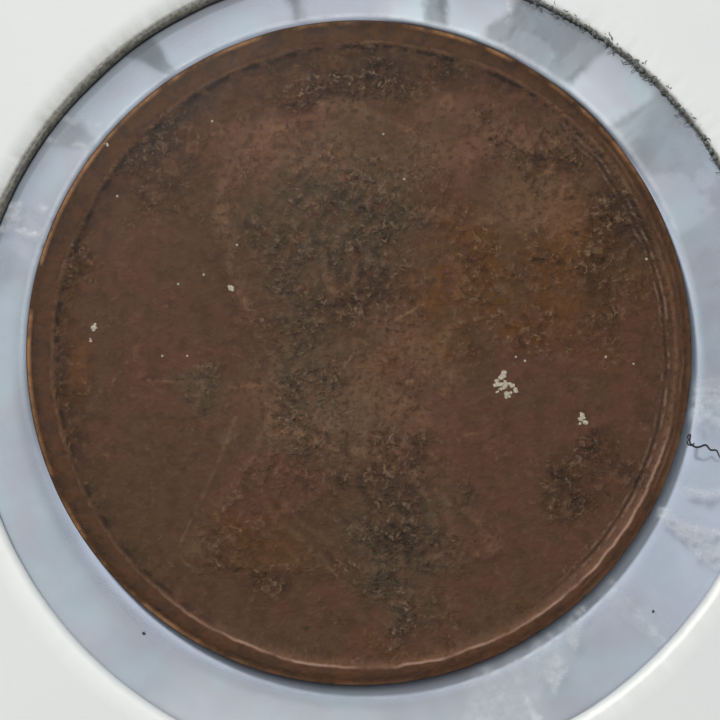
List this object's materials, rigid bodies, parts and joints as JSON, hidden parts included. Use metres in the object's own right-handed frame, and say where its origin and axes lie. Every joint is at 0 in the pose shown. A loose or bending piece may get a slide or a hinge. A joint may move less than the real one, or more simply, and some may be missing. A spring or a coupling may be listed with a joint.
{
  "type": "folding card coin holder",
  "caption": "Square folding card coin holder with a round clear-film window in each leaf, closed over a small dark bronze coin.",
  "frame": {"origin": "centre of the underside, on the rear leaf's outer face, in line with the middle of both windows", "axes": "+Z out of the front window, +X from the crease to the free edge, +Y up the coin's face"},
  "size_m": [0.0508, 0.0508, 0.0016],
  "materials": {
    "facing_paper": "matt white facing paper with a faint grain, cool in tone",
    "board": "grey-brown recycled board, seen at the cut edges",
    "adhesive": "thin, tacky, yellowish coat",
    "film": "thin clear film with a faint bluish haze, puckered round the coin",
    "coin_bronze": "dark brown, worn and pitted bronze"
  },
  "bodies": {
    "rear_leaf": {"rear_facing_paper": "facing_paper", "rear_board": "board", "rear_adhesive": "adhesive", "rear_film": "film", "fold_crease": "facing_paper"},
    "front_leaf": {"front_facing_paper": "facing_paper", "front_board": "board", "front_adhesive": "adhesive", "front_film": "film"},
    "coin": {"coin": "coin_bronze"}
  },
  "joints": [
    {"name": "leaf_fold", "type": "hinge", "parent": "rear_leaf", "child": "front_leaf", "pos_m": [-0.0254, 0, 0.00054], "axis": [0, -1, 0], "range_deg": [0, 180], "deforming": ["fold_crease"]},
    {"name": "coin_spin", "type": "hinge", "parent": "rear_leaf", "child": "coin", "pos_m": [-0.00042, 0.0005, 0.00083], "axis": [0, 0, 1], "continuous": true}
  ]
}
